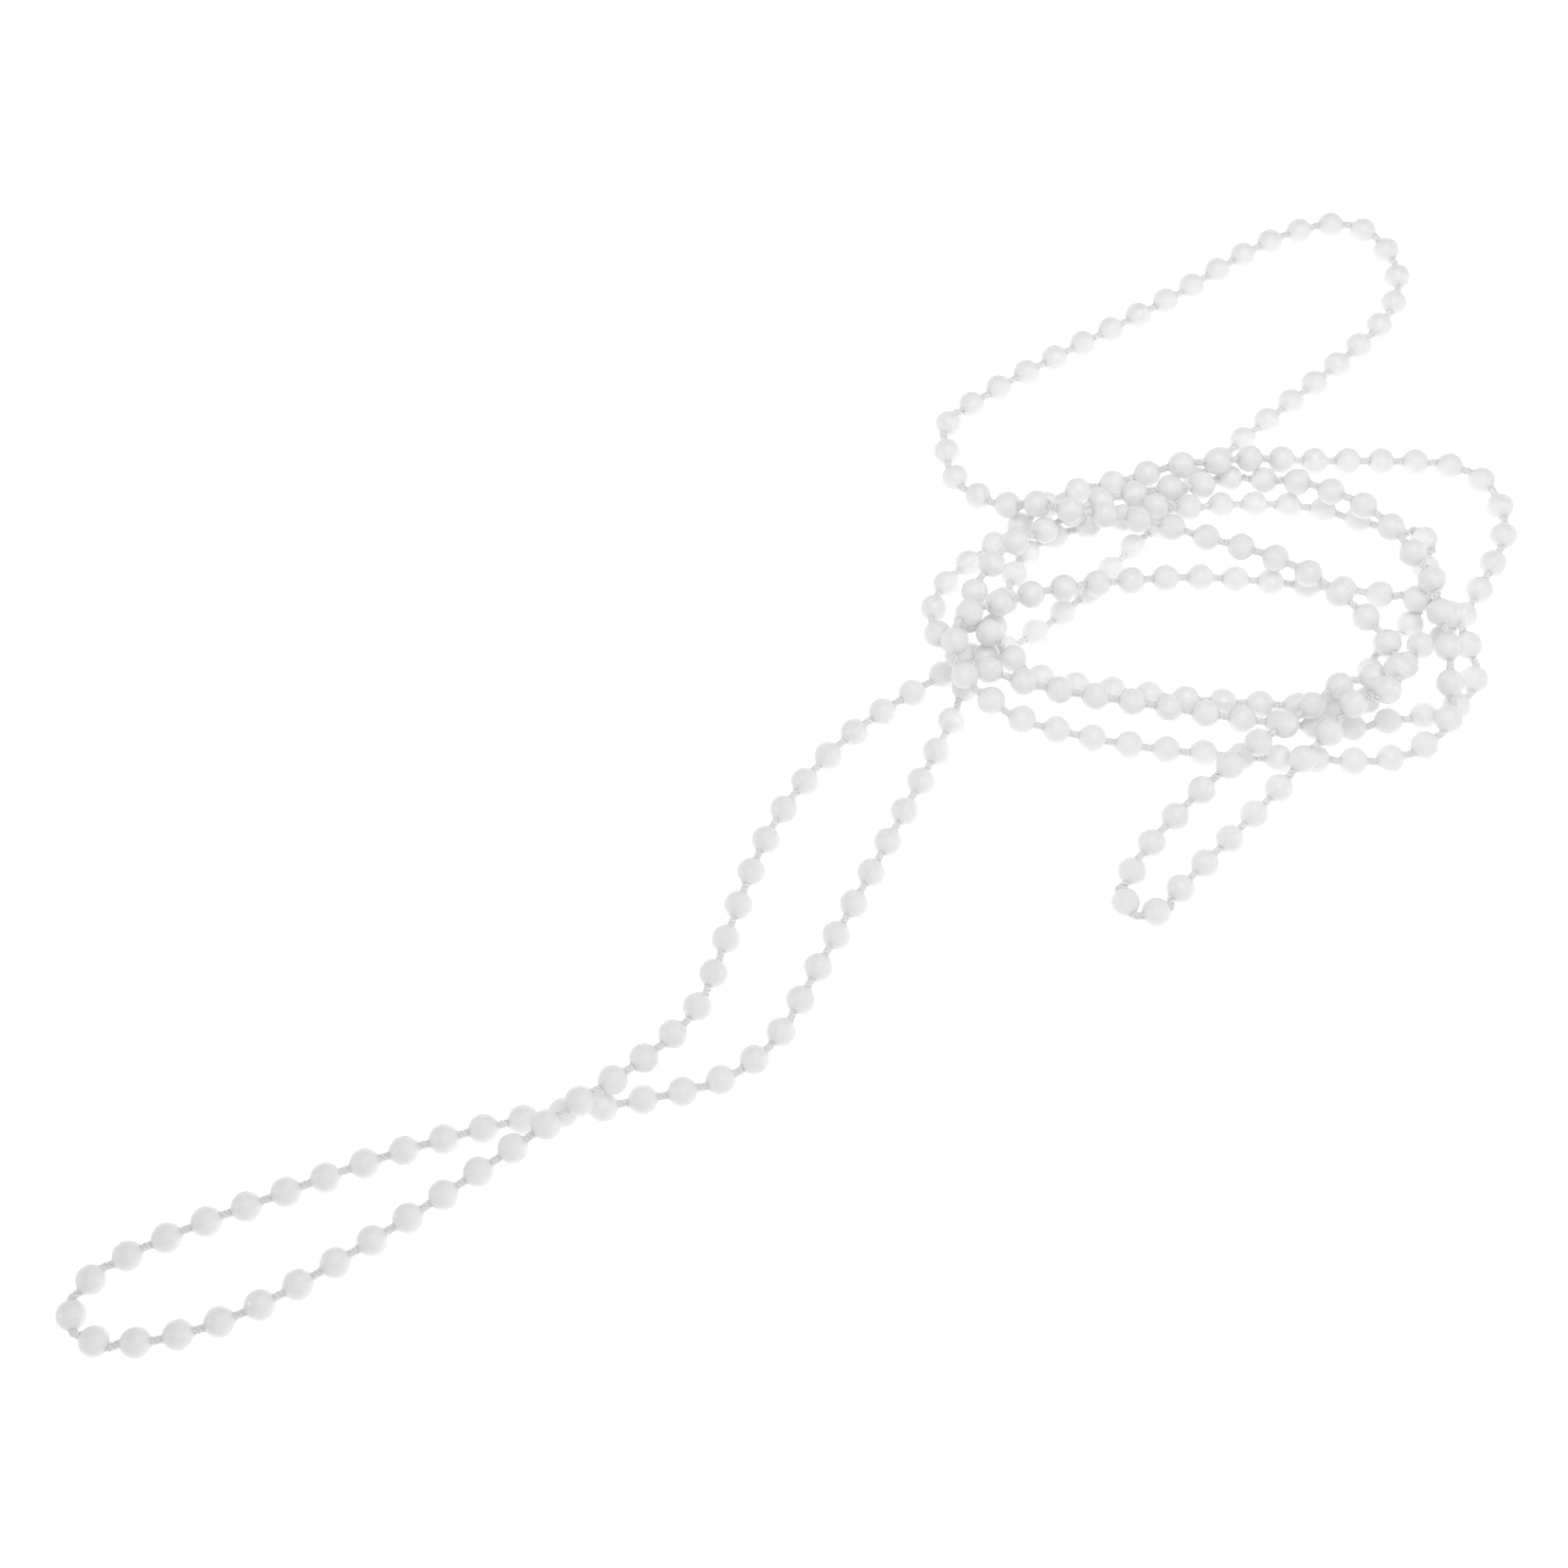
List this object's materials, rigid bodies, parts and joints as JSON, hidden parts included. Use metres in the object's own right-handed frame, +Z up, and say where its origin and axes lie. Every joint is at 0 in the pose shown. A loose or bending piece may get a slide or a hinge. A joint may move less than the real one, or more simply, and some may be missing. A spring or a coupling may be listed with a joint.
{
  "type": "roller blind chain",
  "caption": "Endless white plastic ball chain for working a roller blind, moulded on a twisted cord, lying flat in a loose tangle of loops.",
  "frame": {"origin": "on the surface that the chain lies on, under the middle of its outline", "axes": "+X to the right and +Y away from the viewer in the picture, +Z up from the surface"},
  "size_m": [0.2274, 0.206, 0.014],
  "materials": {
    "bead_plastic": "white moulded plastic with a soft sheen",
    "cord": "white twisted polyester"
  },
  "bodies": {
    "root": {"bead_chain": "bead_plastic"}
  },
  "joints": []
}
